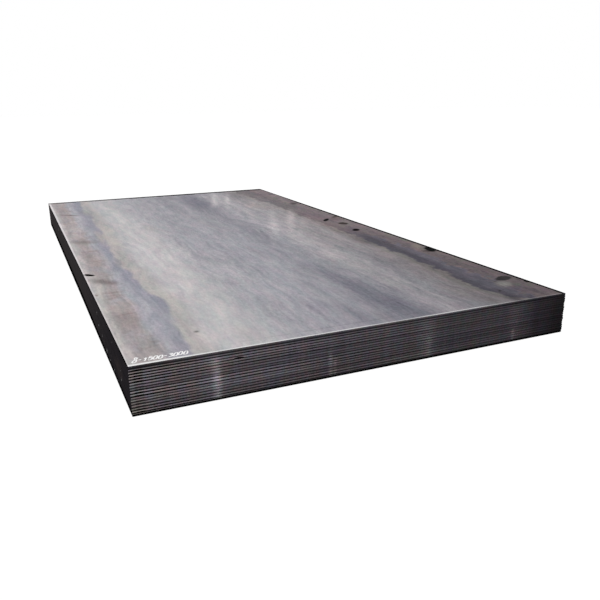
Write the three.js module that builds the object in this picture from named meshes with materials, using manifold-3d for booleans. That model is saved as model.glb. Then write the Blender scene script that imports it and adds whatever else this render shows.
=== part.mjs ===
// A squared stack of hot-rolled steel plates, cut to length and piled flat for delivery.
//
// Units are millimetres. +Z is up, X runs across the plates and Y along the rolling direction.
// The origin is on the underside of the stack, at its middle. One sheared end faces -Y.
//
// Every plate is one solid. Its long sides are mill edges, rounded as the rolls left them. Its two
// short ends are sheared: the top corner rolls over, a burnished band follows where the blade cut,
// and below it the torn band leans inwards to a small burr at the underside.

import * as THREE from "three";
import { mergeVertices } from "three/addons/utils/BufferGeometryUtils.js";
import loadManifold from "manifold-3d";

// Stock size of one plate, and how many are piled. Nominal 8 mm plate measures a little less
// than that, and with the air above it takes up its full 8 mm in the pile.
const PLATE_WIDTH = 1500;
const PLATE_LENGTH = 3000;
const PLATE_THICKNESS = 7.7;
const PLATE_COUNT = 18;

// Air left between two plates by scale and slight waviness.
const AIR_GAP = 0.3;

// Sheared end, measured on its face.
const ROLLOVER_HEIGHT = 0.9;
const ROLLOVER_DEPTH = 1.1;
const BURNISH_HEIGHT = 2.6;
const FRACTURE_DEPTH = 0.8;
const BURR_HEIGHT = 0.5;
const BURR_DEPTH = 0.35;

// Mill edge: how far its middle stands out past the flat faces, and how it wanders along the plate.
const MILL_EDGE_BULGE = 1.2;
const MILL_EDGE_WAVE = 0.7;
const MILL_EDGE_WAVELENGTH = 860;
const MILL_EDGE_STATION = 172;
const CAMBER = 1.0;

// How far the plates lie out of line with each other.
const SIDE_SHIFT = 0.4;
const END_SHIFT = 0.9;
const SKEW = 0.00012;

// A chip out of the lower corner of one sheared end.
const CHIP_WIDTH = 34;
const CHIP_HEIGHT = 5;
const CHIP_DEPTH = 6;
const CHIP_FROM_LEFT_SIDE = 295;
const CHIP_PLATE_FROM_TOP = 4;

// Steps of the rollover and of the torn band, and the turn from one plate's wander to the next.
const ROLLOVER_STEPS = 3;
const FRACTURE_STEPS = 2;
const GOLDEN_ANGLE = Math.PI * (3 - Math.sqrt(5));

const PITCH = PLATE_THICKNESS + AIR_GAP;

// The sheared face as [height above the underside, inset from the outermost plane], from the bottom.
function shearedProfile() {
  const points = [];
  const fractureTop = PLATE_THICKNESS - ROLLOVER_HEIGHT - BURNISH_HEIGHT;
  points.push([0, FRACTURE_DEPTH - BURR_DEPTH]);
  for (let step = 0; step <= FRACTURE_STEPS; step += 1) {
    const share = step / FRACTURE_STEPS;
    const height = BURR_HEIGHT + (fractureTop - BURR_HEIGHT) * share;
    points.push([height, FRACTURE_DEPTH * (1 - share)]);
  }
  for (let step = 0; step <= ROLLOVER_STEPS; step += 1) {
    const angle = (Math.PI / 2) * (step / ROLLOVER_STEPS);
    const height = PLATE_THICKNESS - ROLLOVER_HEIGHT * (1 - Math.sin(angle));
    points.push([height, ROLLOVER_DEPTH * (1 - Math.cos(angle))]);
  }
  return points;
}

// Inset of the rounded mill edge at a height: half an ellipse standing on the plate's thickness.
function millEdgeInset(height) {
  const fromMiddle = Math.abs((2 * height) / PLATE_THICKNESS - 1);
  return MILL_EDGE_BULGE * (1 - Math.sqrt(Math.max(0, 1 - fromMiddle ** 2)));
}

// How far a mill edge wanders outwards at a place along the plate: the whole plate bows a little
// towards +X at its middle, and each edge has its own slow wave, counted from the front end.
function millEdgeWander(y, phase, side) {
  const fromFront = y + PLATE_LENGTH / 2;
  const along = (2 * y) / PLATE_LENGTH;
  const bow = side * CAMBER * (1 / 2 - along ** 2);
  const wave = MILL_EDGE_WAVE * Math.sin((2 * Math.PI * fromFront) / MILL_EDGE_WAVELENGTH + phase);
  return bow + wave;
}

// Places along a long side, front to back: both sheared ends, and stations at an even pitch between
// them, the last one at least half a pitch short of the back end.
function stationsAlong(endInset) {
  const front = -PLATE_LENGTH / 2;
  const stations = [front + endInset];
  for (let at = MILL_EDGE_STATION; at < PLATE_LENGTH - MILL_EDGE_STATION / 2; at += MILL_EDGE_STATION) {
    stations.push(front + at);
  }
  stations.push(-front - endInset);
  return stations;
}

// One closed outline of the plate at a height, anticlockwise seen from above.
function outlineAt(height, endInset, phase) {
  const edgePoint = (side) => (y) => {
    const out = millEdgeWander(y, phase * side, side) - millEdgeInset(height);
    return new THREE.Vector3(side * (PLATE_WIDTH / 2 + out), y, height);
  };
  const stations = stationsAlong(endInset);
  const rightSide = stations.map(edgePoint(1));
  const leftSide = stations.map(edgePoint(-1)).reverse();
  return [...rightSide, ...leftSide];
}

// A closed skin through outlines of equal point counts, from the bottom one to the top one.
function loft(outlines) {
  const count = outlines[0].length;
  const positions = outlines.flat().flatMap((point) => point.toArray());
  const index = [];
  for (let level = 0; level < outlines.length - 1; level += 1) {
    for (let at = 0; at < count; at += 1) {
      const next = (at + 1) % count;
      const low = level * count;
      const high = low + count;
      index.push(low + at, low + next, high + next);
      index.push(low + at, high + next, high + at);
    }
  }
  const top = (outlines.length - 1) * count;
  for (const [a, b, c] of THREE.ShapeUtils.triangulateShape(outlines[0], [])) {
    index.push(c, b, a);
  }
  for (const [a, b, c] of THREE.ShapeUtils.triangulateShape(outlines.at(-1), [])) {
    index.push(top + a, top + b, top + c);
  }
  const geometry = new THREE.BufferGeometry();
  geometry.setAttribute("position", new THREE.Float32BufferAttribute(positions, 3));
  geometry.setIndex(index);
  return geometry;
}

function plateGeometry(phase) {
  const outlines = shearedProfile().map(([height, inset]) => outlineAt(height, inset, phase));
  return loft(outlines);
}

const wasm = await loadManifold();
wasm.setup();

function toSolid(geometry) {
  const bare = geometry.clone();
  bare.deleteAttribute("normal");
  bare.deleteAttribute("uv");
  const merged = mergeVertices(bare);
  return new wasm.Manifold(
    new wasm.Mesh({
      numProp: 3,
      vertProperties: new Float32Array(merged.attributes.position.array),
      triVerts: new Uint32Array(merged.index.array),
    }),
  );
}

function toGeometry(solid) {
  const mesh = solid.getMesh();
  const geometry = new THREE.BufferGeometry();
  geometry.setAttribute("position", new THREE.BufferAttribute(mesh.vertProperties, 3));
  geometry.setIndex(new THREE.BufferAttribute(mesh.triVerts, 1));
  return geometry;
}

// The plate with a rounded bite out of the lower corner of its front end.
function withChip(geometry) {
  const bite = new THREE.SphereGeometry(1, 20, 12);
  bite.scale(CHIP_WIDTH / 2, CHIP_DEPTH, CHIP_HEIGHT);
  bite.translate(CHIP_FROM_LEFT_SIDE - PLATE_WIDTH / 2, -PLATE_LENGTH / 2 + FRACTURE_DEPTH, 0);
  return toGeometry(toSolid(geometry).subtract(toSolid(bite)));
}

// Mill scale: grey with a cold cast, satin, a little different on each plate.
function plateMaterial(number) {
  const shade = 0.34 + 0.03 * Math.sin(number * GOLDEN_ANGLE);
  return new THREE.MeshStandardMaterial({
    color: new THREE.Color(shade, shade, shade * 1.04),
    roughness: 0.45,
    metalness: 0.85,
  });
}

// A wander's values over the pile, stretched so that the lowest is -1 and the highest is 1.
function spread(wander) {
  const values = Array.from({ length: PLATE_COUNT }, (_, index) => wander(index));
  const low = Math.min(...values);
  const high = Math.max(...values);
  return values.map((value) => (high > low ? (2 * (value - low)) / (high - low) - 1 : 0));
}

const sideways = spread((index) => Math.sin(index * GOLDEN_ANGLE));
const endways = spread((index) => Math.cos(index * GOLDEN_ANGLE * 2));
const turned = spread((index) => Math.sin(index * GOLDEN_ANGLE * 3));

const group = new THREE.Group();
for (let index = 0; index < PLATE_COUNT; index += 1) {
  const number = index + 1;
  const whole = plateGeometry(index * GOLDEN_ANGLE);
  const chipped = PLATE_COUNT - index === CHIP_PLATE_FROM_TOP;
  const plate = new THREE.Mesh(chipped ? withChip(whole) : whole, plateMaterial(number));
  plate.name = `plate_${String(number).padStart(2, "0")}`;
  plate.position.set(SIDE_SHIFT * sideways[index], END_SHIFT * endways[index], PITCH * index);
  plate.rotation.z = SKEW * turned[index];
  group.add(plate);
}

export default group;
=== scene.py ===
# %% [markdown]
# # A squared stack of hot-rolled steel plates
#
# Eighteen like plates lie flat on each other. Each one came off a hot strip mill, so its faces carry
# mill scale, the thin blue-grey skin that forms as the steel cools. Its long sides are mill edges,
# rounded as the rolls left them, and its short ends are sheared. The engineering model is loaded first.
# Lengths are in metres, or in millimetres where a comment says so.

import math

import bpy
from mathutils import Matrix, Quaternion, Vector


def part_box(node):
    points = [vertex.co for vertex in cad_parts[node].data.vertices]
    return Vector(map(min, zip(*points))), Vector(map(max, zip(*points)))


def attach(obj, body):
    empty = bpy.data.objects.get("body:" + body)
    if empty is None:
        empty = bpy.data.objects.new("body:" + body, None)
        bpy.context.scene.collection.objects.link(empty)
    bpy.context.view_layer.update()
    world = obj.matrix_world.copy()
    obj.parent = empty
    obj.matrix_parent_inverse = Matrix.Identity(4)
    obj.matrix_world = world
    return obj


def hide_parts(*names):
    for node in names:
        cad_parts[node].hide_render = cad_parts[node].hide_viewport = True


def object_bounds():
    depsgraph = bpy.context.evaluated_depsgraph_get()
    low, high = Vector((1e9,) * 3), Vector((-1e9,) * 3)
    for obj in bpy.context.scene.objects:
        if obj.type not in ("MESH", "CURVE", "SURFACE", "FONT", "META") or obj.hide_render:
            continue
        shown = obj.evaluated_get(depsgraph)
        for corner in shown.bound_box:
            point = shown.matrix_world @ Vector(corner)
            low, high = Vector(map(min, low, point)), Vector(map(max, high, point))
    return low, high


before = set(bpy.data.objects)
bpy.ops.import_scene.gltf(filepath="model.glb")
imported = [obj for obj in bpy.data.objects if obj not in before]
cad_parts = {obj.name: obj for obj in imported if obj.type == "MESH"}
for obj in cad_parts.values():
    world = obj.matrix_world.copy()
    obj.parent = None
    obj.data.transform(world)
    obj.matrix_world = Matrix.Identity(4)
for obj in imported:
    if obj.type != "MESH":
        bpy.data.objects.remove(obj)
cad_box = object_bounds()

plate_names = sorted(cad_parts)
first_low, first_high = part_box(plate_names[0])
second_low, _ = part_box(plate_names[1])

MM = 0.001
WIDTH = 1500 * MM
LENGTH = 3000 * MM
THICKNESS = first_high.z - first_low.z
PITCH = second_low.z - first_low.z
TOP = cad_box[1].z
print(f"{len(plate_names)} plates, {THICKNESS / MM:.1f} mm thick, one every {PITCH / MM:.1f} mm")

# %% [markdown]
# # The camera
# It stands a little above the stack, outside its left front corner, and looks along the top face. A
# place, a point to look at and a small roll are easier to read and to nudge than three angles.

# %% Place the camera
CAMERA_PLACE = Vector((-0.9642, -3.0804, 0.8044))
CAMERA_TARGET = Vector((-0.1232, -1.188, 0.1501))
CAMERA_ROLL = math.radians(0.556)
CAMERA_LENS = 38.63

camera_data = bpy.data.cameras.new("camera")
camera_data.lens = CAMERA_LENS
camera = bpy.data.objects.new("camera", camera_data)
bpy.context.scene.collection.objects.link(camera)
look = CAMERA_TARGET - CAMERA_PLACE
turn = look.to_track_quat("-Z", "Y")
turn.rotate(Quaternion(look.normalized(), CAMERA_ROLL))
camera.location = CAMERA_PLACE
camera.rotation_mode = "QUATERNION"
camera.rotation_quaternion = turn
bpy.context.scene.camera = camera
bpy.context.scene.view_settings.view_transform = "Standard"
print(f"camera is {look.length:.2f} m from the point it looks at")

# %% [markdown]
# # Shader maths in Python
# A finish is a graph of nodes, and most of its nodes are plain arithmetic. A small class wraps a socket
# so that `1 - mask` or `a * b` adds the Math node by itself. One method adds any other node. The
# finishes below then read like formulas.

# %% A value to reckon with
def operator(operation, swapped=False):
    """A method that adds the Math node of one operator."""

    def method(self, other=0.0):
        first, second = (other, self) if swapped else (self, other)
        return self.graph.maths(operation, first, second)

    return method


class Value:
    """An output of a node, with the operators of a number and the steps that masks are made of."""

    def __init__(self, graph, socket):
        self.graph = graph
        self.socket = socket

    __add__ = __radd__ = operator("ADD")
    __sub__ = operator("SUBTRACT")
    __rsub__ = operator("SUBTRACT", swapped=True)
    __mul__ = __rmul__ = operator("MULTIPLY")
    __mod__ = operator("FLOORED_MODULO")
    __abs__ = operator("ABSOLUTE")

    def rise(self, low, high, bottom=0.0, top=1.0):
        """A smooth step from bottom to top while the value goes from low to high."""
        sockets = {"Value": self, "From Min": low, "From Max": high, "To Min": bottom, "To Max": top}
        return self.graph.node("MapRange", {"interpolation_type": "SMOOTHSTEP"}, sockets)

    def fall(self, low, high, top=1.0, bottom=0.0):
        return self.rise(low, high, top, bottom)

    def band(self, centre, half, soft):
        """1 within half of the centre, falling to 0 over soft on both sides."""
        return abs(self - centre).fall(half - soft / 2, half + soft / 2)

    def added(self, steps):
        """The sum of several steps, each a kind, its run and its size in millimetres."""
        total = 0.0
        for kind, run, size in steps:
            total = kind(self, *run) * (size * MM) + total
        return total


# %% A graph of nodes
class Graph:
    """A node tree, with a method for any node and short names for the few that recur."""

    def __init__(self, tree):
        self.tree = tree

    def node(self, kind, settings=None, sockets=None, output=0):
        """Adds a node: its settings first, then the numbers or links of its sockets."""
        made = self.tree.nodes.new("ShaderNode" + kind)
        for name, setting in (settings or {}).items():
            setattr(made, name, setting)
        for key, value in (sockets or {}).items():
            self.feed(made.inputs[key], value)
        return Value(self, made.outputs[output])

    def feed(self, socket, value):
        if isinstance(value, Value):
            self.tree.links.new(value.socket, socket)
        else:
            socket.default_value = value

    def maths(self, operation, first, second=0.0):
        return self.node("Math", {"operation": operation}, {0: first, 1: second})

    def parts(self, vector):
        """The x, y and z of a vector, as three values."""
        split = self.node("SeparateXYZ", sockets={0: vector}).socket.node
        return [Value(self, output) for output in split.outputs]


# %% A finish
ENDLESS = 1000.0


class Finish(Graph):
    """One material, and what its surface varies by."""

    def __init__(self, name, **constants):
        self.material = bpy.data.materials.new(name)
        self.material.use_nodes = True
        super().__init__(self.material.node_tree)
        self.shader = self.tree.nodes["Principled BSDF"]
        for socket, value in constants.items():
            self.shader.inputs[socket.replace("_", " ")].default_value = value
        self.place = self.node("TexCoord", output="Object")

    def wear(self, **fields):
        """Feeds the shader with what changes over the surface, and returns the material."""
        for name, value in fields.items():
            self.feed(self.shader.inputs[name.replace("_", " ")], value)
        return self.material

    def noise(self, scale, detail=3.0, roughness=0.6, seed=0.0, on=None):
        """Noise about 0 that reaches about half each way; scale is features per metre on x, y, z."""
        where = on or self.place
        settled = {"Vector": where, "Scale": scale, "Location": (seed, seed * 0.7, seed * 0.3)}
        stretched = self.node("Mapping", sockets=settled)
        sockets = {"Vector": stretched, "Scale": 1.0, "Detail": detail, "Roughness": roughness}
        return self.node("TexNoise", sockets=sockets) - 0.5

    def mix(self, share, first, second):
        """A colour between two colours."""
        return self.node("Mix", {"data_type": "RGBA"}, {0: share, 6: first, 7: second}, output=2)

    def shade(self, colour, factor):
        """A colour made lighter or darker by a value."""
        return self.node("VectorMath", {"operation": "SCALE"}, {0: colour, "Scale": factor})

    def tinted(self, colour, tint):
        """A colour multiplied by another one."""
        return self.node("VectorMath", {"operation": "MULTIPLY"}, {0: colour, 1: tint})

    def oval(self, across, along, long, wide, angle):
        """Distance from the middle of an oval on the top face: 1 on its outline, 2 far away.

        Its place from the left side and the front end and its half sizes are in millimetres.
        """
        sockets = {
            "Vector": self.place,
            "Location": (across * MM - WIDTH / 2, along * MM - LENGTH / 2, 0),
            "Rotation": (0, 0, math.radians(angle)),
            "Scale": (2 * long * MM, 2 * wide * MM, ENDLESS),
        }
        inside = self.node("Mapping", {"vector_type": "TEXTURE"}, sockets)
        near = self.node("TexGradient", {"gradient_type": "SPHERICAL"}, {0: inside}, output="Fac")
        return 2 - near * 2

    def bump(self, height, distance, strength=1.0):
        sockets = {"Height": height, "Distance": distance, "Strength": strength}
        return self.node("Bump", sockets=sockets)


# %% A colour by its look
def linear(level):
    """The light that a display level out of 255 stands for."""
    share = level / 255
    return share / 12.92 if share <= 0.04045 else ((share + 0.055) / 1.055) ** 2.4


def tone(level, blue=0.0, green=0.0):
    """A near-grey: its display level, its blue less its red, and its green less the mean of both."""
    base = level - green / 3
    return (linear(base - blue / 2), linear(base + green), linear(base + blue / 2), 1.0)


# %% [markdown]
# # Mill scale on the flat faces
# Scale does not form evenly across a strip. Its middle cools slowly and keeps a satin blue-grey with
# long streaks along the rolling direction. Air reaches the edges, so bands of temper colour run along
# both long sides. From the middle outwards they go from pale steel to a straw line, then to a violet
# blue with a scalloped edge, and then to a blotchy brown. Each band below is a place across the plate
# where one tone gives way to the next.

# %% Tones of mill scale
SATIN = tone(172, 5, -4)
PALE = tone(202, -2, -1)
SMOKY = tone(130, 12, -7)
CLEAN = tone(184, -1, -4)
# Middle, half width and softness of the three broad strips that these tones make on the satin.
PALE_STRIP = (0.335, 0.075, 0.26)
SMOKY_STRIP = (0.885, 0.05, 0.19)
CLEAN_STRIP = (1.055, 0.05, 0.15)
LEFT_BANDS = [
    # Millimetres from the left side, softness, tone.
    (238, 60, tone(183, -6, -1)),
    (178, 20, tone(160, 10, -6)),
    (136, 40, tone(177, 6, -4)),
    (95, 32, tone(165, -8, -4)),
]
INNER_FROM = 150
LEFT_RIM = tone(182, -5, -2)
LEFT_RIM_EDGE = (0.012, 0.036)
RIGHT_BANDS = [
    # Millimetres from the left side, softness, tone at the front end, tone at the back end.
    (1160, 180, tone(164, -3, -5), tone(166, -3, -4)),
    (1250, 40, tone(151, -7, -2), tone(160, -7, -3)),
    (1282, 18, tone(110, 8, -8), tone(126, -5, -5)),
    (1330, 26, tone(127, 8, -8), tone(125, -4, -6)),
    (1390, 26, tone(122, -7, -7), tone(130, -6, -7)),
]
BROWN_FROM = 1350
BROWN_EDGE = (1.35, 1.4)
BACK_TONES = (1.05, 1.65)

# %% [markdown]
# The lines between the bands do not run straight. Noise makes all of them drift, breaks them into
# scallops and frays them. Besides that, each line bends at a few places on its way from the front end
# to the back end. A bend rises or falls once and stays, or it stands as a hump, and a positive size
# carries the line towards the left side. The brown edge on the right frays most.

# %% How the lines bend and fray
DRIFT = 35 * MM
LEFT_SCALLOPS = 90 * MM
RIGHT_SCALLOPS = 100 * MM
LEFT_FRAY = 18 * MM
RIM_FRAY = 10 * MM
RIGHT_FRAY = 110 * MM
BROWN_FRAY = 240 * MM
LEFT_BENDS = [
    # Kind, its run along the plate, and its size.
    (Value.band, (1.3, 0.3, 0.6), 14),
    (Value.band, (0.45, 0.05, 0.45), -12),
    (Value.rise, (0.6, 0.9), 9),
]
INNER_BENDS = [
    (Value.band, (0.45, 0.14, 0.22), -18),
    (Value.rise, (1.5, 2.4), -14),
    (Value.fall, (0.0, 0.16), 12),
]
RIGHT_BENDS = [
    (Value.rise, (0.15, 1.3), -52),
    (Value.rise, (1.5, 1.9), 12),
    (Value.rise, (2.1, 2.6), 26),
    (Value.fall, (0.03, 0.20), -16),
    (Value.fall, (0.05, 0.12), -18),
    (Value.fall, (0.0, 0.07), -28),
    (Value.band, (0.27, 0.04, 0.06), -14),
    (Value.band, (0.4, 0.12, 0.2), -8),
    (Value.band, (0.54, 0.06, 0.08), -12),
    (Value.band, (1.02, 0.12, 0.2), 14),
]
BROWN_BENDS = [
    (Value.band, (0.07, 0.02, 0.04), 36),
    (Value.band, (0.13, 0.02, 0.03), -20),
    (Value.fall, (0.0, 0.06), 22),
]


# %% Where the temper bands run
def ends(place, soft):
    """Where a band's soft edge begins and ends, in metres."""
    return (place - soft / 2) * MM, (place + soft / 2) * MM


def temper_colour(finish, across, along):
    """The tone of the scale from the middle of the plate out to both sides, and where it is brown."""
    drift = finish.noise((0.4, 1.1, 1), 2, 0.5, seed=3) * DRIFT
    ragged = finish.noise((14, 9, 1), seed=5)
    left_scallops = abs(finish.noise((1.0, 3.6, 1), 1, 0.5, seed=11)) * LEFT_SCALLOPS
    right_scallops = abs(finish.noise((1.0, 5.2, 1), 1, 0.5, seed=31)) * RIGHT_SCALLOPS
    left = across + drift + along.added(LEFT_BENDS) - left_scallops + ragged * LEFT_FRAY
    inner = left + along.added(INNER_BENDS)
    right = across + drift + along.added(RIGHT_BENDS) + right_scallops + ragged * RIGHT_FRAY
    brown = across + drift * 0.5 + along.added(BROWN_BENDS) + ragged * BROWN_FRAY

    colour = finish.mix(left.band(*PALE_STRIP), SATIN, PALE)
    patches = finish.noise((11, 0.9, 1), seed=37)
    smoke = (across + drift).band(*SMOKY_STRIP) * (0.38 + patches * 1.5)
    colour = finish.mix(smoke, colour, SMOKY)
    clean = (across + drift).band(*CLEAN_STRIP) * (0.7 - patches)
    colour = finish.mix(clean, colour, CLEAN)
    for place, soft, shade in LEFT_BANDS:
        line = inner if place > INNER_FROM else left
        colour = finish.mix(line.fall(*ends(place, soft)), colour, shade)
    colour = finish.mix((across + ragged * RIM_FRAY).fall(*LEFT_RIM_EDGE), colour, LEFT_RIM)
    to_back = along.rise(*BACK_TONES)
    for place, soft, front_shade, back_shade in RIGHT_BANDS:
        shade = finish.mix(to_back, front_shade, back_shade)
        line = brown if place > BROWN_FROM else right
        colour = finish.mix(line.rise(*ends(place, soft)), colour, shade)
    return colour, brown.rise(*BROWN_EDGE)


# %% [markdown]
# Rust and rolled-in scale make the brown bands blotchy: short reddish smudges and paler lilac gaps on
# the left one, and on the right one a closer mottle of red, olive and near black, with a fine bloom of
# pink and green in it. Straw shows up in patches, where the band is thinnest. The front right quarter
# is dimmer than the rest, partly because its scale is thicker and darker and partly as painted shade.
# The back half and two small places are a little dimmer too.

# %% Blotches and dimming
RED = tone(132, -16, -8)
LILAC = tone(172, 2, -5)
DARK = tone(82, 3, -7)
OLIVE = tone(124, -6, 5)
PINK = tone(124, -4, -18)
GREEN = tone(114, -8, 6)
STRAW = tone(184, -12, -2)


def blotched(finish, colour, outer, across):
    """The colour with blotches on both brown bands and patches of straw."""
    on_left = across.band(0.07, 0.04, 0.05)
    smudges = finish.noise((6, 15, 1), seed=41)
    colour = finish.mix(smudges.rise(0.02, 0.22) * on_left * 0.9, colour, RED)
    gaps = finish.noise((9, 6, 1), seed=43)
    colour = finish.mix(gaps.rise(0.0, 0.16) * on_left * 0.75, colour, LILAC)
    patches = finish.noise((9, 5, 1), 2, 0.5, seed=45)
    straw = across.band(0.21, 0.02, 0.05) * patches.rise(0.03, 0.2)
    colour = finish.mix(straw * 0.5, colour, STRAW)
    mottle = finish.noise((20, 13, 1), 4, 0.75, seed=47)
    colour = finish.mix(mottle.rise(0.0, 0.16) * outer * 0.8, colour, RED)
    colour = finish.mix(mottle.fall(-0.18, -0.03) * outer * 0.55, colour, DARK)
    lichen = finish.noise((16, 11, 1), 4, 0.75, seed=49)
    colour = finish.mix(lichen.rise(0.04, 0.16) * outer * 0.8, colour, OLIVE)
    bloom = finish.noise((46, 20, 1), 3, 0.7, seed=51)
    colour = finish.mix(bloom.rise(0.02, 0.2) * outer * 0.4, colour, PINK)
    return finish.mix(bloom.fall(-0.2, -0.02) * outer * 0.4, colour, GREEN)


def dimming_and_shade(outer, across, along):
    """How light each place is: 1 where the scale kept its full tone, less where it is dimmer; in the front
    right quarter this is partly painted shade.
    """
    # The front right quarter is darker partly because its scale is thicker and partly as painted shade.
    dull_and_shaded_quarter = across.rise(0.62, 1.32) * along.fall(0.0, 2.0) * (0.44 - outer * 0.18)
    back_half = along.rise(1.4, 1.9) * across.rise(0.4, 0.7, 0.03, 0.075)
    right_spot = along.band(1.25, 0.15, 0.35) * across.band(1.30, 0.03, 0.07) * 0.13
    left_corner = along.fall(0.05, 0.32) * across.band(0.12, 0.04, 0.06) * 0.07
    return 1 - dull_and_shaded_quarter - back_half - right_spot - left_corner


# %% [markdown]
# The grain comes in five sizes. The rolls leave fine streaks and broad soft ones, cooling water leaves
# clouds, scale lifts in short wisps that are bluer where they are darker, and the scale itself is a fine
# speckle. Long pale scratches run through it, and its hue turns a little pinker or greener from place to
# place. All but the speckle lie on a place that slow noise has pushed sideways, so that they wander and
# never run as straight as a ruled line.

# %% The grain of the scale
WARM_TINT = (1.022, 0.999, 0.978, 1.0)
COOL_TINT = (0.974, 0.998, 1.028, 1.0)
PINK_TINT = (1.034, 0.976, 1.004, 1.0)
GREEN_TINT = (0.968, 1.022, 0.998, 1.0)
PUSH = (0.12, 0.05, 0.0)


def scale_grain(finish, across):
    """How light the grain is about 1, its tint, and the height and gloss that go with it."""
    slow = finish.node("TexNoise", sockets={"Vector": finish.place, "Scale": 2.2}, output="Color")
    pushed = {0: slow, 1: PUSH, 2: finish.place}
    flow = finish.node("VectorMath", {"operation": "MULTIPLY_ADD"}, pushed)
    fine_streaks = finish.noise((75, 2.6, 1), seed=61, on=flow)
    broad_streaks = finish.noise((17, 0.9, 1), 3, 0.5, seed=67, on=flow)
    clouds = finish.noise((12, 3.0, 1), 5, 0.65, seed=71, on=flow)
    wisps = finish.noise((40, 8, 1), 3, 0.65, seed=79, on=flow)
    speckle = finish.noise((110, 45, 1), 4, 0.7, seed=73)
    scratches = finish.noise((80, 0.9, 1), 2, 0.5, seed=63, on=flow).rise(0.16, 0.30)
    strength = 0.92 - across.band(0.31, 0.12, 0.12) * 0.32 + across.rise(0.75, 1.0) * 0.3
    grain = fine_streaks * 0.36 + broad_streaks * 0.30 + clouds * 0.30 + speckle * 0.8 + wisps * 0.58
    light = 1 + grain * strength + scratches * 0.15
    tint = finish.mix((wisps + broad_streaks * 0.5).rise(-0.3, 0.3), COOL_TINT, WARM_TINT)
    hue = finish.noise((30, 8, 1), 4, 0.75, seed=65, on=flow)
    tint = finish.tinted(tint, finish.mix(hue.rise(-0.2, 0.2), PINK_TINT, GREEN_TINT))
    height = speckle * 0.6 + wisps * 0.5
    gloss = wisps + clouds
    return light, tint, height, gloss


# %% [markdown]
# # What handling left on the top plate
# Only the top plate shows its face. A few flakes of scale came off it, and spots of oil and slag lie
# near its edges. Wipes crossed it: most are broad soft clouds along the rolling direction where the
# scale is paler, darker or browner, and a few are narrow and slant. Spots and wipes are ovals on the
# face with a ragged outline. A painted highlight runs along the front arris and a fainter one along the
# left arris, and black strips of painted shade run along the arrises of the right side and the back end.

# %% Spots and wipes
FRONT_ARRIS_HIGHLIGHT = tone(244)
LEFT_ARRIS_HIGHLIGHT = tone(246, -3, -4)
BLACK = tone(6)
TOP_SPOTS = [
    # Millimetres from the left side and the front end, half length, half width, angle, tone, strength.
    (20, 986, 26, 13, 135, (12,), 1.0),
    (1376, 1627, 42, 14, 53, (34, 2), 1.0),
    (1414, 1493, 34, 25, 84, (50, -8), 0.9),
    (1389, 1306, 29, 19, 56, (24,), 1.0),
    (1478, 772, 46, 26, 72, (32, 2), 1.0),
    (1446, 742, 30, 13, 150, (26,), 0.9),
    (1438, 247, 40, 24, 16, (62, 1, -1), 0.95),
    (1386, 184, 34, 23, 38, (164, -8, 1), 0.8),
    (1488, 180, 17, 8, 60, (30,), 0.95),
    (1480, 1709, 56, 13, 45, (56, -8), 0.75),
    (1444, 2242, 44, 22, 67, (66,), 0.75),
    (1368, 2143, 95, 38, 81, (104, 0, 2), 0.35),
    (232, 181, 8, 7, 62, (100,), 0.75),
    (61, 859, 60, 27, 130, (112, -9, -5), 0.7),
    (74, 1630, 58, 42, 140, (118, -8, -4), 0.65),
    (70, 386, 84, 30, 91, (128, -12, -6), 0.4),
    (12, 690, 10, 5, 89, (104, -20, -8), 0.6),
    (1452, 845, 46, 20, 64, (148, -18, -3), 0.7),
    (1424, 700, 70, 16, 80, (124, -12, -6), 0.5),
    (88, 2450, 56, 14, 138, (100, -8, -4), 0.7),
    (1313, 120, 14, 5, 45, (60,), 0.6),
]
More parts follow.
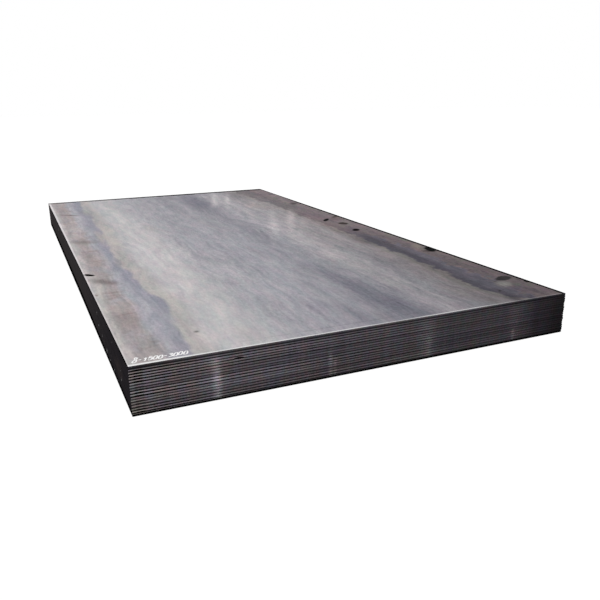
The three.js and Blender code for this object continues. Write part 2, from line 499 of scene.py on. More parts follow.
TOP_WIPES = [
    # The same columns.
    (340, 1330, 850, 120, 87, (206, -3, -3), 0.45),
    (394, 1555, 430, 34, 80, (208, -5, -4), 0.45),
    (345, 790, 260, 26, 88, (206, -6, -4), 0.4),
    (300, 650, 420, 60, 90, (206, -4, -3), 0.45),
    (905, 170, 330, 115, 90, (120, 13, -8), 0.62),
    (730, 110, 260, 90, 90, (118, 12, -7), 0.35),
    (880, 520, 300, 52, 93, (122, 12, -7), 0.45),
    (735, 150, 170, 22, 91, (126, 11, -6), 0.4),
    (632, 240, 180, 18, 92, (130, 11, -6), 0.35),
    (905, 2560, 460, 110, 88, (122, 13, -8), 0.65),
    (715, 2520, 450, 50, 90, (132, 11, -6), 0.35),
    (900, 1450, 300, 50, 90, (128, 11, -7), 0.4),
    (756, 1600, 330, 32, 91, (140, 9, -5), 0.25),
    (1040, 1150, 520, 60, 88, (190, -4, -4), 0.35),
    (1222, 2378, 190, 20, 63, (196, -9, -5), 0.4),
    (985, 765, 110, 14, 62, (176, -6, -4), 0.4),
    (70, 1950, 300, 60, 90, (186, -5, -4), 0.4),
    (1300, 1040, 165, 74, 90, (84, 4, -6), 0.5),
    (1350, 850, 300, 34, 90, (84, 9, -6), 0.35),
    (1330, 300, 110, 36, 90, (150, 8, -6), 0.3),
    (1320, 1450, 330, 95, 90, (112, -18, -10), 0.45),
    (1160, 1440, 640, 80, 88, (165, -14, -4), 0.4),
    (1190, 2270, 210, 80, 90, (170, -19, -4), 0.4),
    (1320, 2380, 230, 60, 90, (128, 7, -5), 0.4),
    (1235, 2760, 230, 85, 90, (116, 3, -5), 0.5),
    (1095, 2700, 150, 60, 90, (206, -2, -3), 0.35),
    (998, 1100, 260, 48, 90, (198, 1, -4), 0.4),
    (1050, 170, 200, 90, 90, (184, 1, -8), 0.4),
    (740, 455, 210, 30, 90, (122, 10, -5), 0.35),
    (372, 80, 110, 60, 90, (165, -1, -3), 0.4),
    (355, 2765, 230, 60, 90, (165, 2, -3), 0.4),
    (22, 1330, 520, 22, 90, (206, -5, -2), 0.45),
    (16, 2150, 240, 18, 90, (210, -5, -2), 0.4),
    (18, 170, 130, 22, 90, (184, -2, 4), 0.4),
    (140, 290, 165, 38, 90, (196, 9, -4), 0.34),
    (192, 320, 70, 20, 90, (176, 15, -5), 0.4),
    (90, 1240, 290, 36, 90, (166, -18, -4), 0.45),
    (165, 1715, 190, 32, 90, (184, -18, 2), 0.5),
    (203, 2450, 560, 28, 90, (146, 8, -5), 0.55),
    (180, 2505, 130, 34, 90, (164, -7, 6), 0.5),
    (33, 800, 200, 26, 90, (192, -4, 5), 0.5),
    (246, 120, 150, 40, 90, (214, -9, -2), 0.5),
    (1216, 48, 60, 30, 90, (104, -8, -5), 0.4),
    (432, 1190, 260, 50, 90, (206, -1, -3), 0.4),
    (760, 2850, 140, 110, 90, (118, 6, -5), 0.3),
    (112, 450, 90, 32, 90, (196, 2, -4), 0.35),
    (1010, 790, 220, 80, 90, (184, -6, -4), 0.35),
    (748, 1070, 190, 22, 90, (124, 10, -5), 0.35),
    (797, 60, 80, 26, 90, (112, 8, -5), 0.35),
    (1445, 1640, 90, 50, 60, (98, -24, -10), 0.5),
    (160, 1130, 110, 26, 90, (168, -14, -3), 0.45),
    (62, 190, 80, 28, 90, (160, -16, -4), 0.4),
    (60, 2640, 300, 44, 90, (158, -18, -7), 0.4),
    (1020, 2890, 90, 50, 90, (150, 16, -10), 0.4),
    (112, 105, 90, 14, 90, (176, -10, -3), 0.45),
    (436, 1820, 170, 36, 90, (180, -12, -3), 0.35),
    (1375, 1800, 230, 75, 90, (122, -10, -17), 0.4),
    (1090, 60, 50, 60, 90, (162, 0, -14), 0.35),
    (1300, 32, 46, 32, 90, (78, 7, -8), 0.55),
    (1358, 1050, 430, 34, 86, (80, 3, -6), 0.5),
    (1396, 150, 110, 40, 85, (104, -2, -14), 0.4),
    (1092, 160, 110, 32, 90, (206, -2, -6), 0.3),
    (1040, 810, 180, 60, 84, (200, -2, -5), 0.25),
    (524, 800, 190, 60, 95, (214, -2, -4), 0.3),
    (1060, 1640, 480, 32, 69, (206, -5, -4), 0.6),
    (1165, 1640, 500, 30, 67, (202, -8, -5), 0.55),
    (1024, 2604, 330, 30, 73, (216, -5, -4), 0.65),
    (1098, 2560, 340, 26, 72, (214, -5, -4), 0.6),
]

# %% Lay them on the top face
FIRM_CORE = 0.75
FAINT_CORE = 0.2


def handled(finish, colour):
    """Lays the wipes and spots on the top face, and says where the metal is hidden by a spot.

    A strong spot has a firm core, and a faint one fades out from near its middle.
    """
    outline = finish.noise((32, 32, 1), 4, 0.7, seed=83)
    brushed = finish.noise((36, 1.5, 1), seed=85)
    for *place, shade, strength in TOP_WIPES:
        distance = finish.oval(*place) + brushed
        colour = finish.mix(distance.fall(0.0, 1.3) * strength, colour, tone(*shade))
    hidden = 0.0
    for *place, shade, strength in TOP_SPOTS:
        distance = finish.oval(*place) + outline * 0.9
        core = FIRM_CORE if strength > 0.8 else FAINT_CORE
        mask = distance.fall(core, 2 - core) * strength
        colour = finish.mix(mask, colour, tone(*shade))
        hidden = mask + hidden
    return colour, hidden


# %% Painted highlight and shade along the arrises
# Where each strip begins to fade and where it ends, from its own arris.
FRONT_STRIP = (0.003, 0.010)
LEFT_STRIP = (0.003, 0.008)
RIGHT_STRIP = (0.009, 0.014)
BACK_STRIP = (0.040, 0.054)
RIGHT_WIDER = [
    # Kind, its run along the plate, and its size.
    (Value.rise, (0.0, 1.4), 4),
    (Value.fall, (0.3, 1.1), 3.5),
    (Value.rise, (2.2, 2.7), -9),
]


def arrises(finish, colour, across, along):
    """Painted highlight along the front and left arrises, black strips of painted shade along the right
    and back ones, and where they are black.
    """
    low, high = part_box(plate_names[-1])
    from_left = across - (low.x + WIDTH / 2)
    from_front = along - (low.y + LENGTH / 2)
    from_right = (high.x + WIDTH / 2) - across
    from_back = (high.y + LENGTH / 2) - along
    broken = finish.noise((9, 9, 1), 3, 0.7, seed=89)
    wider = across.fall(0.10, 0.26) * 0.005
    fading = across.band(0.82, 0.1, 0.2) * 0.4 + across.rise(0.95, 1.35)
    # Painted highlight along the front arris, fading towards the right.
    front_highlight = (from_front - wider + broken * 0.006).fall(*FRONT_STRIP)
    colour = finish.mix(front_highlight * (0.9 - fading * 0.75), colour, FRONT_ARRIS_HIGHLIGHT)
    # A faint dark line parallel to the front arris, about 44 mm in.
    faint_dark_line = (from_front + broken * 0.006).band(0.044, 0.003, 0.006)
    faint_dark_line = faint_dark_line * across.band(0.65, 0.3, 0.5) * 0.16
    colour = finish.mix(faint_dark_line, colour, BLACK)
    # Painted highlight along the left arris, stronger towards the back.
    rub_and_highlight = (from_left - along * 0.0028 + broken * 0.005).fall(*LEFT_STRIP)
    colour = finish.mix(rub_and_highlight * along.rise(0.6, 1.6, 0.3, 0.55), colour, LEFT_ARRIS_HIGHLIGHT)
    # Painted shade: a black strip along the right arris and one along the back arris.
    wider = along.added(RIGHT_WIDER) + along * 0.0014
    right_shade_strip = (from_right - wider + broken * 0.008).fall(*RIGHT_STRIP)
    back_shade_strip = (from_back + broken * 0.05).fall(*BACK_STRIP)
    back_shade_strip = back_shade_strip * across.rise(0.0, 0.7, 0.6, 0.95)
    black = finish.maths("MAXIMUM", right_shade_strip, back_shade_strip)
    return finish.mix(black, colour, BLACK), black


# %% [markdown]
# The hidden flat faces have the same finish without wipes, spots and the painted highlight and shade of
# the arrises. Their rim is black, which makes the joints between the plates darker.

# %% The mill-scale finish
METAL_SHARE = 0.5
DARK_RIM = (0.012, 0.030)
SPECULAR_TINT = (0.5, 0.5, 0.5, 1)
SCALE_RELIEF = 0.25 * MM


def mill_scale(name, is_top):
    finish = Finish(name, Specular_IOR_Level=0.0, Specular_Tint=SPECULAR_TINT)
    x, y, _ = finish.parts(finish.place)
    across = x + WIDTH / 2
    along = y + LENGTH / 2
    colour, outer = temper_colour(finish, across, along)
    colour = blotched(finish, colour, outer, across)
    dim_and_shade = dimming_and_shade(outer, across, along)
    light, tint, height, gloss = scale_grain(finish, across)
    metal = METAL_SHARE - outer * 0.3
    if is_top:
        colour, hidden = handled(finish, colour)
        metal = metal * hidden.fall(0.3, 1.0)
    colour = finish.shade(finish.tinted(colour, tint), light * dim_and_shade)
    if is_top:
        colour, black = arrises(finish, colour, across, along)
    else:
        # The rim of each hidden face is black, which makes the joints between the plates darker.
        inward = finish.maths("MINIMUM", WIDTH / 2 - abs(x), LENGTH / 2 - abs(y))
        black = inward.fall(*DARK_RIM)
        colour = finish.mix(black, colour, BLACK)
    metal = metal * (1 - black)
    roughness = gloss.rise(-0.3, 0.3, 0.36, 0.50)
    relief = finish.bump(height, SCALE_RELIEF, 0.6)
    return finish.wear(Base_Color=colour, Metallic=metal, Roughness=roughness, Normal=relief)


scale_finish = mill_scale("mill_scale", False)
top_finish = mill_scale("mill_scale_top_plate", True)
print(f"top face: {len(top_finish.node_tree.nodes)} nodes, {len(TOP_SPOTS)} spots, {len(TOP_WIPES)} wipes")

# %% [markdown]
# # Sheared ends
# The blade leaves a bright burnished band high on each plate and a dark torn band below it. Stacked,
# they give the close stripes of the front end. Height within a plate is the height in the stack modulo
# the pitch. Straps and forks have rubbed four upright bands, and the stripes fade towards the right,
# where the torn and the burnished steel have rusted to one dark brown.

# %% Tones of the sheared end
END_TONES = [
    # Millimetres from the left side, burnished tone, torn tone.
    (20, tone(140, -1, -3), tone(24, 0, -1)),
    (110, tone(128, -1, -4), tone(36, 0, -1)),
    (330, tone(119, 2, -5), tone(54, 2, -3)),
    (720, tone(99, 1, -4), tone(54, 1, -3)),
    (1080, tone(77, 2, -3), tone(60, 2, -2)),
    (1300, tone(76, 1, -4), tone(62, 1, -3)),
    (1385, tone(52, 3, -4), tone(46, 3, -4)),
    (1490, tone(35, 0, -2), tone(31, 0, -2)),
]
RUBS = [
    # Millimetres from the left side, half width, the share of the height that it reaches, strength.
    (232, 44, 1.00, 0.13),
    (234, 20, 1.00, 0.24),
    (238, 18, 0.75, 0.22),
    (586, 11, 0.60, 0.20),
    (601, 9, 0.45, 0.16),
    (936, 20, 0.55, 0.09),
    (926, 55, 1.00, 0.08),
    (1278, 10, 0.35, 0.14),
    (1280, 36, 1.00, 0.035),
]
RUBBED_STEEL = tone(214, -3, -1)
DARK_GAP = tone(4)


def end_tone(finish, across, column):
    """The tone of one column of the table, from left to right along the end."""
    colour = END_TONES[0][column]
    for before, after in zip(END_TONES, END_TONES[1:]):
        reached = across.rise(before[0] * MM, after[0] * MM)
        colour = finish.mix(reached, colour, after[column])
    return colour


# %% Rubs and stripes
# Height above a plate's underside where each dark band begins to fade and where it has ended.
TORN_BAND = (2.4 * MM, 4.4 * MM)
GAP_BAND = (0.8 * MM, 2.2 * MM)
OPEN_GAP = (4.6 * MM, 5.4 * MM)
WOBBLE = 2.2 * MM


def rubbing(across, z, uprights):
    """How bright the straps and forks have rubbed each place."""
    rub_and_highlight = 0.0
    for place, half, reach, strength in RUBS:
        line = (abs(across - place * MM) + uprights * (half * MM)).fall(0.0, half * MM)
        below = z.fall(reach * 0.8 * TOP, reach * TOP + 5 * MM)
        rub_and_highlight = line * below * strength + rub_and_highlight
    return rub_and_highlight


def stripes(finish, across, z, rub_and_highlight):
    """The burnished band, the torn band and the gap of every plate, and where the steel is torn."""
    height = (z + 0.02 * MM) % PITCH
    wobble = finish.noise((22, 22, 130), 2, 0.6, seed=7) * WOBBLE
    corner = across.fall(0.04, 0.25) * MM
    torn = (height + wobble - corner * 0.7).fall(*TORN_BAND)
    gap = (height + wobble * 0.4 - corner * 0.8).fall(*GAP_BAND)
    opened = across.band(0.024, 0.012, 0.008) * height.fall(*OPEN_GAP)
    colour = finish.mix(rub_and_highlight, end_tone(finish, across, 1), RUBBED_STEEL)
    colour = finish.mix(torn * (1 - rub_and_highlight * 0.85), colour, end_tone(finish, across, 2))
    dark = finish.maths("MAXIMUM", gap * across.fall(0.3, 1.3, 0.95, 0.35), opened)
    return finish.mix(dark, colour, DARK_GAP), torn


# %% [markdown]
# Some rows differ from the rest. The top plate's end has a painted highlight at its arris and painted
# shade below it and towards both corners. The second plate is brighter where its torn band ends, one
# joint is a black line with a washed plate under it, and two groups of rows are calmer. Painted shade
# makes the foot of the stack nearly black.

# %% Rows that differ
SECOND_PLATE = tone(168, -1, -4)
SECOND_ROW = (16.2 * PITCH, 0.25 * PITCH, 0.1 * PITCH)
CALMER_ROWS = tone(76, 1, -4)
ROWS = [
    # Its middle, half height and softness in plates, where it fades along the end, share, tone.
    ((7.0, 0.1125, 0.1), (0.6, 1.1), 1.0, tone(8)),
    ((6.5, 0.4, 0.2), (0.4, 0.6), 0.4, tone(108, 4, -5)),
    ((10.5, 1.2, 0.5), (0.5, 1.0), 0.32, CALMER_ROWS),
    ((4.3, 1.2, 0.5), (0.5, 1.0), 0.32, CALMER_ROWS),
]
FOOT_SHADE_BAND = (6.2 * MM, 7.2 * MM)


def top_plate_end_light_and_shade(finish, across, z):
    """The top plate's end: a painted highlight at its arris, and painted shade below it and at both
    corners.
    """
    # Painted highlight towards the arris, painted shade below it.
    shade = z.rise(TOP - 8.5 * MM, TOP - 0.5 * MM)
    colour = finish.mix(shade, tone(38, 4, -2), tone(100, 2, -3))
    colour = finish.mix(across.fall(0.04, 0.20) * 0.8, colour, tone(28, 3, -2))
    return finish.mix(across.rise(0.98, 1.42) * 0.85, colour, tone(30, 3, -3))


def rows(finish, colour, across, z, torn, rub_and_highlight):
    """The colour of the end with the rows that differ."""
    on_top_plate = z.rise(TOP - THICKNESS - 2.2 * MM, TOP - THICKNESS - 1.5 * MM)
    # The top plate's end with its painted highlight and shade.
    top_end_light_and_shade = top_plate_end_light_and_shade(finish, across, z)
    colour = finish.mix(on_top_plate * (0.92 - rub_and_highlight * 0.6), colour, top_end_light_and_shade)
    second = z.band(*SECOND_ROW) * across.fall(0.3, 0.9)
    colour = finish.mix(second * (1 - torn) * 0.3, colour, SECOND_PLATE)
    for row, fade, share, shade in ROWS:
        middle, half, soft = (size * PITCH for size in row)
        there = z.band(middle, half, soft) * across.fall(*fade)
        colour = finish.mix(there * share, colour, shade)
    # Painted shade: the foot of the stack's end is nearly black.
    foot_shade = (z - across.rise(0.2, 1.4) * (0.6 * MM)).fall(*FOOT_SHADE_BAND)
    return finish.mix(foot_shade, colour, tone(2))


# %% [markdown]
# Rust turns the end browner in some places and more violet in others. A finer bloom makes it pinker or
# greener, most of all at the right. Each plate is a little lighter or darker than its neighbours.

# %% The sheared finish
RUST_TINT = (1.09, 0.99, 0.91, 1.0)
VIOLET_TINT = (0.97, 0.985, 1.095, 1.0)
PINK_BLOOM = (1.10, 0.93, 1.02, 1.0)
GREEN_BLOOM = (0.91, 1.06, 0.98, 1.0)
TEAR_RELIEF = 0.3 * MM


def end_tint(finish, across):
    stains = finish.noise((40, 40, 30), 4, 0.7, seed=15)
    tint = finish.mix(stains.rise(-0.12, 0.12), VIOLET_TINT, RUST_TINT)
    bloom = finish.noise((60, 60, 90), 3, 0.65, seed=21)
    bloom = bloom * across.rise(0.3, 1.4, 1.0, 2.2)
    return finish.tinted(tint, finish.mix(bloom.rise(-0.2, 0.2), PINK_BLOOM, GREEN_BLOOM))


def sheared_steel(name):
    finish = Finish(name, Metallic=0.35, Roughness=0.5, Specular_IOR_Level=0.0)
    x, _, z = finish.parts(finish.place)
    across = x + WIDTH / 2
    uprights = finish.noise((150, 150, 5), 4, 0.7, seed=9)
    rub_and_highlight = rubbing(across, z, uprights)
    colour, torn = stripes(finish, across, z, rub_and_highlight)
    colour = rows(finish, colour, across, z, torn, rub_and_highlight)
    colour = finish.tinted(colour, end_tint(finish, across))
    plate_tone = finish.noise((1.3, 1.3, 0.9 / PITCH), 0, 0.5, seed=13)
    light = 1 + uprights * 0.8 + plate_tone
    relief = finish.bump(uprights + torn * 0.5, TEAR_RELIEF, 0.6)
    return finish.wear(Base_Color=finish.shade(colour, light), Normal=relief)


# %% [markdown]
# # Mill edges
# The long sides are dark and matt, with brown clouds and a few bare flecks, most of them near the front.
# The top plate's side is nearly black, and painted shade makes the foot of the stack nearly black.

# %% The mill-edge finish
EDGE_FRONT = tone(38, 1, -3)
EDGE_BACK = tone(51, -2, -2)
EDGE_BROWN = tone(56, -8, -3)
EDGE_FLECK = tone(120)
EDGE_BLACK = tone(3)


def mill_edge_steel(name):
    finish = Finish(name, Metallic=0.0, Roughness=0.9, Specular_IOR_Level=0.0)
    _, y, z = finish.parts(finish.place)
    clouds = finish.noise((4, 4, 20), seed=17)
    flecks = finish.noise((26, 26, 34), 1, 0.5, seed=19)
    bare = finish.mix(y.rise(-1.5, -0.2), EDGE_FRONT, EDGE_BACK)
    colour = finish.mix(clouds.rise(0.0, 0.3) * 0.6, bare, EDGE_BROWN)
    flecked = flecks + y.band(-1.05, 0.2, 0.30) * 0.08
    colour = finish.mix(flecked.rise(0.25, 0.30), colour, EDGE_FLECK)
    brow = z.rise(TOP - THICKNESS - 1 * MM, TOP - THICKNESS)
    # Painted shade: the lowest plates are nearly black, reaching higher towards the back.
    foot_shade = (z - y.rise(-1.5, 0.1) * 14 * MM).fall(14 * MM, 24 * MM)
    colour = finish.mix(brow * 0.9 + foot_shade, colour, EDGE_BLACK)
    return finish.wear(Base_Color=colour)


sheared_finish = sheared_steel("sheared_end")
edge_finish = mill_edge_steel("mill_edge")

# %% [markdown]
# # One plate
# A plate is a flat outline that is raised level by level. At each level the long sides and the ends
# stand in by their own amount, so the sides come out rounded and the ends come out sheared. Extruding
# and resizing the same face does this and keeps the mesh closed. The outline has many corners on its
# straight runs, because the torn edge is roughened afterwards and needs points to move.

# %% The section of both kinds of edge
ROLLOVER_HEIGHT = 0.9 * MM
ROLLOVER_DEPTH = 1.1 * MM
BURNISH_HEIGHT = 2.6 * MM
TEAR_DEPTH = 0.8 * MM
BURR_HEIGHT = 0.5 * MM
BURR_DEPTH = 0.35 * MM
MILL_EDGE_BULGE = 1.2 * MM
TEAR_TOP = THICKNESS - ROLLOVER_HEIGHT - BURNISH_HEIGHT
TEAR_STEPS = 4
ROLLOVER_STEPS = 4


def section_levels():
    """Height and end inset of each level of a plate, from the underside up."""
    levels = [(0.0, TEAR_DEPTH - BURR_DEPTH)]
    for step in range(TEAR_STEPS + 1):
        share = step / TEAR_STEPS
        levels.append((BURR_HEIGHT + (TEAR_TOP - BURR_HEIGHT) * share, TEAR_DEPTH * (1 - share)))
    for step in range(ROLLOVER_STEPS + 1):
        angle = math.pi / 2 * step / ROLLOVER_STEPS
        height = THICKNESS - ROLLOVER_HEIGHT * (1 - math.sin(angle))
        levels.append((height, ROLLOVER_DEPTH * (1 - math.cos(angle))))
    return levels


def mill_edge_inset(height):
    """How far the half-round side stands in from its middle at a height."""
    from_middle = abs(2 * height / THICKNESS - 1)
    return MILL_EDGE_BULGE * (1 - math.sqrt(max(0.0, 1 - from_middle**2)))


# %% Helpers for edit mode
def make_active(obj):
    bpy.ops.object.select_all(action="DESELECT")
    obj.select_set(True)
    bpy.context.view_layer.objects.active = obj


def select_in_edit(obj, kind, wanted):
    """Selects, in edit mode, only the edges or the faces for which wanted(item) is true."""
    bpy.ops.object.mode_set(mode="EDIT")
    bpy.ops.mesh.select_mode(type=kind)
    bpy.ops.mesh.select_all(action="DESELECT")
    bpy.ops.object.mode_set(mode="OBJECT")
    items = obj.data.edges if kind == "EDGE" else obj.data.polygons
    for item in items:
        item.select = wanted(item)
    bpy.ops.object.mode_set(mode="EDIT")


# %% Raise one plate
CUTS = 239


def is_outer(outline, edge):
    """True for an edge on one of the two long sides."""
    half_width = max(vertex.co.x for vertex in outline.data.vertices)
    return all(abs(outline.data.vertices[index].co.x) > half_width - MM for index in edge.vertices)


def dense_outline(name, half_width, half_length):
    """One flat face whose four straight sides have many points."""
    bpy.ops.object.select_all(action="DESELECT")
    bpy.ops.mesh.primitive_plane_add(size=2)
    outline = bpy.context.object
    outline.name = name
    outline.scale = (half_width, half_length, 1)
    bpy.ops.object.transform_apply(location=False, rotation=False, scale=True)

    def runs_across(edge):
        first, second = (outline.data.vertices[index].co for index in edge.vertices)
        return abs(first.x - second.x) > abs(first.y - second.y)

    select_in_edit(outline, "EDGE", runs_across)
    bpy.ops.mesh.subdivide(number_cuts=CUTS)
    select_in_edit(outline, "EDGE", lambda edge: not runs_across(edge) and is_outer(outline, edge))
    bpy.ops.mesh.subdivide(number_cuts=CUTS)
    bpy.ops.mesh.select_mode(type="FACE")
    bpy.ops.mesh.select_all(action="SELECT")
    bpy.ops.mesh.dissolve_faces()
    return outline


def raise_plate(name):
    """A closed plate with mill edges and sheared ends, centred on the origin, underside at z 0."""
    levels = section_levels()
    wide = WIDTH / 2 - mill_edge_inset(0.0)
    long = LENGTH / 2 - levels[0][1]
    plate = dense_outline(name, wide, long)
    bpy.ops.mesh.select_all(action="SELECT")
    at = 0.0
    for height, inset in levels[1:]:
        bpy.ops.mesh.extrude_region_move(TRANSFORM_OT_translate={"value": (0, 0, height - at)})
        next_wide = WIDTH / 2 - mill_edge_inset(height)
        next_long = LENGTH / 2 - inset
        factors = (next_wide / wide, next_long / long, 1)
        bpy.ops.transform.resize(value=factors, center_override=(0, 0, height))
        at, wide, long = height, next_wide, next_long
    bpy.ops.mesh.select_all(action="SELECT")
    bpy.ops.mesh.normals_make_consistent(inside=False)
    bpy.ops.object.mode_set(mode="OBJECT")
    return plate


pattern = raise_plate("pattern_plate")
print(f"pattern plate: {len(pattern.data.polygons)} faces, {len(pattern.data.vertices)} points")

# %% [markdown]
# The flat faces keep a hard edge, and the rollover and the round sides are shaded smooth. Each face
# takes one of three finishes by the way it points.

# %% Hard edges and finishes
FLAT, SHEARED, EDGE = 0, 1, 2


def is_flat(face):
    return abs(face.normal.z) > 0.999


def face_kind(face):
    if is_flat(face):
        return FLAT
    from_end = LENGTH / 2 - abs(face.center.y)
    from_side = WIDTH / 2 - abs(face.center.x)
    return SHEARED if from_end < from_side else EDGE


select_in_edit(pattern, "FACE", is_flat)
bpy.ops.mesh.region_to_loop()
bpy.ops.mesh.mark_sharp()
bpy.ops.object.mode_set(mode="OBJECT")
bpy.ops.object.shade_smooth_by_angle(angle=math.radians(50), keep_sharp_edges=True)

for finish in (scale_finish, sheared_finish, edge_finish):
    pattern.data.materials.append(finish)
for face in pattern.data.polygons:
    face.material_index = face_kind(face)

# %% [markdown]
# # Eighteen plates
# The pattern is copied for every plate and set where the engineering model has that plate. Only then
# are its edges roughened. The Displace modifiers read a cloud texture in the space of the whole stack,
# so no two plates come out alike. One moves the points of the torn ends along Y, one lets the mill
# edges wander along X.

# %% Points that may be roughened
def point_group(obj, name, weight_of):
    """A vertex group whose weight comes from each point's place."""
    group = obj.vertex_groups.new(name=name)
    for vertex in obj.data.vertices:
        weight = weight_of(vertex.co)
        if weight > 0:
            group.add([vertex.index], weight, "REPLACE")


def torn_weight(point):
    is_end = abs(point.y) > LENGTH / 2 - 2 * TEAR_DEPTH
    return 1.0 if is_end and BURR_HEIGHT / 2 < point.z < TEAR_TOP - 0.1 * MM else 0.0


def side_weight(point):
    return 1.0 if abs(point.x) > WIDTH / 2 - 2 * MILL_EDGE_BULGE else 0.0


point_group(pattern, "torn", torn_weight)
point_group(pattern, "side", side_weight)


def clouds(name, size):
    texture = bpy.data.textures.new(name, "CLOUDS")
    texture.noise_scale = size
    texture.noise_depth = 2
    return texture


tear_clouds = clouds("tear_clouds", 14 * MM)
side_clouds = clouds("side_clouds", 400 * MM)


def roughen(plate, group, texture, axis, depth):
    """Moves the points of a group along one axis by a cloud texture, and applies it."""
    make_active(plate)
    modifier = plate.modifiers.new(group, "DISPLACE")
    modifier.texture = texture
    modifier.texture_coords = "GLOBAL"
    modifier.vertex_group = group
    modifier.direction = axis
    modifier.strength = depth
    modifier.mid_level = 0.5
    bpy.ops.object.modifier_apply(modifier=group)


# %% Copy it for every plate
TEAR_ROUGHNESS = 0.9 * MM
SIDE_WANDER = 0.5 * MM


def place_copy(node):
    """A copy of the pattern plate, with its own mesh, where the frame has that plate."""
    low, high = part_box(node)
    make_active(pattern)
    bpy.ops.object.duplicate(linked=False)
    plate = bpy.context.object
    plate.name = "dressed_" + node
    plate.location = ((low.x + high.x) / 2, (low.y + high.y) / 2, low.z)
    bpy.ops.object.transform_apply(location=True, rotation=False, scale=False)
    roughen(plate, "torn", tear_clouds, "Y", TEAR_ROUGHNESS)
    roughen(plate, "side", side_clouds, "X", SIDE_WANDER)
    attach(plate, "root")
    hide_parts(node)
    return plate


plates = [place_copy(node) for node in plate_names]
plates[-1].data.materials[FLAT] = top_finish
bpy.data.objects.remove(pattern)
print(f"{len(plates)} plates placed")

# %% [markdown]
# # A chip out of one plate
# The fourth plate from the top lost a small piece of its lower front corner when it was cut. A flat
# ball the size of the missing piece is taken away with a Boolean, and the wound keeps the ball's own
# dark finish.

# %% Take out the chip
CHIP_FROM_TOP = 4
CHIP_HALF_WIDTH = 17 * MM
CHIP_DEPTH = 7 * MM
CHIP_HALF_HEIGHT = 5 * MM
CHIP_FROM_LEFT = 301 * MM
CHIP_RAISED = 1.5 * MM


def wound_steel(name):
    finish = Finish(name, Metallic=0.2, Roughness=0.8, Specular_IOR_Level=0.1)
    crumbs = finish.noise((300, 300, 300), seed=97)
    colour = finish.mix(crumbs.rise(-0.2, 0.2), tone(5), tone(16, -2, -1))
    return finish.wear(Base_Color=colour, Normal=finish.bump(crumbs, 0.5 * MM))


chipped = plates[-CHIP_FROM_TOP]
low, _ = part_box(plate_names[-CHIP_FROM_TOP])
bpy.ops.object.select_all(action="DESELECT")
bite_place = (CHIP_FROM_LEFT - WIDTH / 2, low.y + TEAR_DEPTH, low.z + CHIP_RAISED)
bpy.ops.mesh.primitive_uv_sphere_add(segments=24, ring_count=12, radius=1, location=bite_place)
bite = bpy.context.object
bite.scale = (CHIP_HALF_WIDTH, CHIP_DEPTH, CHIP_HALF_HEIGHT)
bite.data.materials.append(wound_steel("wound"))
make_active(chipped)
cut = chipped.modifiers.new("chip", "BOOLEAN")
cut.object = bite
cut.operation = "DIFFERENCE"
cut.solver = "EXACT"
cut.material_mode = "TRANSFER"
faces_before = len(chipped.data.polygons)
bpy.ops.object.modifier_apply(modifier="chip")
bpy.data.objects.remove(bite)
print(f"chip: {faces_before} faces before, {len(chipped.data.polygons)} after")

# %% [markdown]
# # Marker numbers
# The yard writes the plate's thickness, width and length in its front left corner with a white paint
# marker. Each character is one stroke of the pen. A stroke is drawn as a chain of points in edit mode,
# turned into a smooth curve with a round section, and then pressed flat, because marker paint has
# almost no height. A point that is given twice bends the stroke more sharply.

# %% The strokes of the characters
STROKES = {
    # Points in a box about ten wide and ten high, in the order that the pen takes them.
    "0": [(6, 10), (0, 10), (-1, 0), (5, -0.5), (11, 0), (10, 10), (5, 10)],
    "1": [(1, 7), (6, 10), (6, 10), (6, 5), (5, 0)],
    "3": [(0, 8.5), (4, 11), (11, 9), (4, 5), (4, 5), (12, 4), (9, -1), (0, 1)],
    "5": [(10, 10), (2, 10), (2, 10), (1, 5), (1, 5), (11, 7), (11, -0.5), (4, -1), (0, 1)],
    "8": [(9, 9), (3, 11.5), (-1, 8), (11, 4), (10, -1), (0, -1), (-1, 3.5), (10, 7), (9, 9.5)],
    "-": [(1, 4.5), (9, 5)],
}
WRITTEN = "8-1500-3000"
TEXT_LEFT = 16 * MM
TEXT_FOOT = 24 * MM
CHARACTER_PITCH = 13.7 * MM
TENTH_OF_WIDTH = 0.9 * MM
TENTH_OF_HEIGHT = 2.1 * MM
FIRST_TALLER = 1.4
SLANT = 0.40
STROKE_RADIUS = 2.0 * MM
HAND_SWAY = 1.5 * MM
SWAY_STEP = 2.3
PAINT_HEIGHT = 0.25 * MM
# A tenth of the paint's height is sunk in the plate.
PAINT_MIDDLE = 0.4 * PAINT_HEIGHT


# %% Draw one stroke
def draw_stroke(name, points):
    """A chain of edges through the points, turned into a smooth round tube."""
    bpy.ops.object.select_all(action="DESELECT")
    bpy.ops.mesh.primitive_plane_add(size=MM, location=(0, 0, 0))
    stroke = bpy.context.object
    stroke.name = name
    bpy.ops.object.mode_set(mode="EDIT")
    bpy.ops.mesh.select_mode(type="VERT")
    bpy.ops.mesh.select_all(action="SELECT")
    bpy.ops.mesh.merge(type="CENTER")
    bpy.ops.transform.translate(value=points[0])
    for before, after in zip(points, points[1:]):
        step = tuple(b - a for a, b in zip(before, after))
        bpy.ops.mesh.extrude_region_move(TRANSFORM_OT_translate={"value": step})
    bpy.ops.object.mode_set(mode="OBJECT")
    bpy.ops.object.convert(target="CURVE")
    bpy.ops.object.mode_set(mode="EDIT")
    bpy.ops.curve.select_all(action="SELECT")
    bpy.ops.curve.spline_type_set(type="NURBS")
    bpy.ops.object.mode_set(mode="OBJECT")
    for spline in stroke.data.splines:
        spline.order_u = 3
        spline.use_endpoint_u = True
        spline.resolution_u = 5
    stroke.data.bevel_depth = STROKE_RADIUS
    stroke.data.bevel_resolution = 1
    stroke.data.use_fill_caps = True
    bpy.ops.object.convert(target="MESH")
    return bpy.context.object


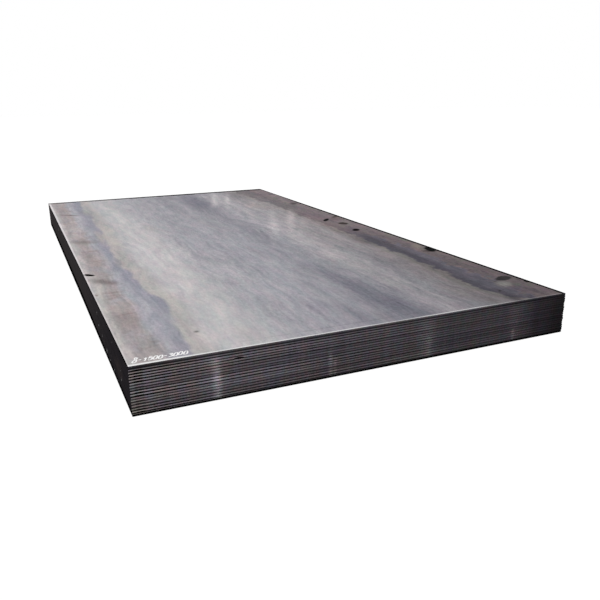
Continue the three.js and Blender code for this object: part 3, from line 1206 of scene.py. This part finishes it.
def pen_point(character_index, point):
    """A point of a character, in the place where the text stands on the top face."""
    tall = TENTH_OF_HEIGHT * (FIRST_TALLER if character_index == 0 else 1)
    across = TEXT_LEFT + character_index * CHARACTER_PITCH + point[0] * TENTH_OF_WIDTH
    across += point[1] * tall * SLANT
    along = TEXT_FOOT + point[1] * tall
    along += HAND_SWAY * math.sin(SWAY_STEP * character_index)
    return (across - WIDTH / 2, along - LENGTH / 2, 0.0)


# %% Write the numbers
strokes = []
for index, character in enumerate(WRITTEN):
    points = [pen_point(index, point) for point in STROKES[character]]
    strokes.append(draw_stroke(f"stroke_{index}", points))
bpy.ops.object.select_all(action="DESELECT")
for stroke in strokes:
    stroke.select_set(True)
bpy.context.view_layer.objects.active = strokes[0]
bpy.ops.object.join()
numbers = bpy.context.object
numbers.name = "marker_numbers"
numbers.scale = (1, 1, PAINT_HEIGHT / 2 / STROKE_RADIUS)
numbers.location = (0, 0, TOP + PAINT_MIDDLE)
bpy.ops.object.transform_apply(location=True, rotation=False, scale=True)


def marker_paint(name):
    finish = Finish(name, Metallic=0.0, Roughness=0.6, Specular_IOR_Level=0.3)
    drag = finish.noise((260, 260, 1), seed=101)
    thick = drag.rise(-0.3, 0.05)
    colour = finish.mix(thick, tone(246), tone(255))
    return finish.wear(Base_Color=colour, Normal=finish.bump(drag, 0.1 * MM))


numbers.data.materials.append(marker_paint("marker_paint"))
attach(numbers, "root")
print(f"marker numbers: {len(numbers.data.polygons)} faces")

# %% [markdown]
# # Floor and light
# The floor is plain and white. It mixes a glow with its own shaded white, so it reads as white paper
# but still takes the soft shadow of the stack. The world is white where it is looked at or mirrored,
# and lights the rest softly. One broad lamp, at the back left, lights the top face most and leaves the
# front end in the shade.

# %% Lay the floor
WHITE = (1, 1, 1, 1)
FLOOR_SIZE = 60.0
FLOOR_GAP = 0.5 * MM
FLOOR_WHITE = tone(240)
GLOW_SHARE = 0.93
GLOW_STRENGTH = 1.06
bpy.ops.object.select_all(action="DESELECT")
bpy.ops.mesh.primitive_plane_add(size=FLOOR_SIZE, location=(0, 0, -FLOOR_GAP))
floor = bpy.context.object
floor.name = "floor"
floor_finish = Finish("white_floor", Base_Color=FLOOR_WHITE, Roughness=0.9, Specular_IOR_Level=0.0)
looked_at = floor_finish.node("LightPath", output="Is Camera Ray")
glow = floor_finish.node("Emission", sockets={"Color": WHITE, "Strength": GLOW_STRENGTH})
plain = Value(floor_finish, floor_finish.shader.outputs[0])
seen = floor_finish.node("MixShader", sockets={0: looked_at * GLOW_SHARE, 1: plain, 2: glow})
floor_finish.feed(floor_finish.tree.nodes["Material Output"].inputs["Surface"], seen)
floor.data.materials.append(floor_finish.material)

# %% Light it
AMBIENT = 0.72
LAMP_PLACE = Vector((-3.0, 3.5, 5.0))
LAMP_SIZE = 4.0
LAMP_POWER = 150
world = bpy.data.worlds.new("studio")
bpy.context.scene.world = world
world.use_nodes = True
sky = Graph(world.node_tree)
rays = [sky.node("LightPath", output=f"Is {kind} Ray") for kind in ("Camera", "Glossy", "Transmission")]
looked_at = sky.maths("MAXIMUM", sky.maths("MAXIMUM", rays[0], rays[1]), rays[2])
background = sky.tree.nodes["Background"]
sky.feed(background.inputs["Strength"], AMBIENT + looked_at * (1 - AMBIENT))
sky.feed(background.inputs["Color"], WHITE)

lamp_data = bpy.data.lights.new("broad_lamp", "AREA")
lamp_data.size = LAMP_SIZE
lamp_data.energy = LAMP_POWER
lamp = bpy.data.objects.new("broad_lamp", lamp_data)
bpy.context.scene.collection.objects.link(lamp)
lamp.location = LAMP_PLACE
lamp.rotation_mode = "QUATERNION"
lamp.rotation_quaternion = (-LAMP_PLACE).to_track_quat("-Z", "Y")
print(f"the lamp is {LAMP_PLACE.length:.1f} m away")
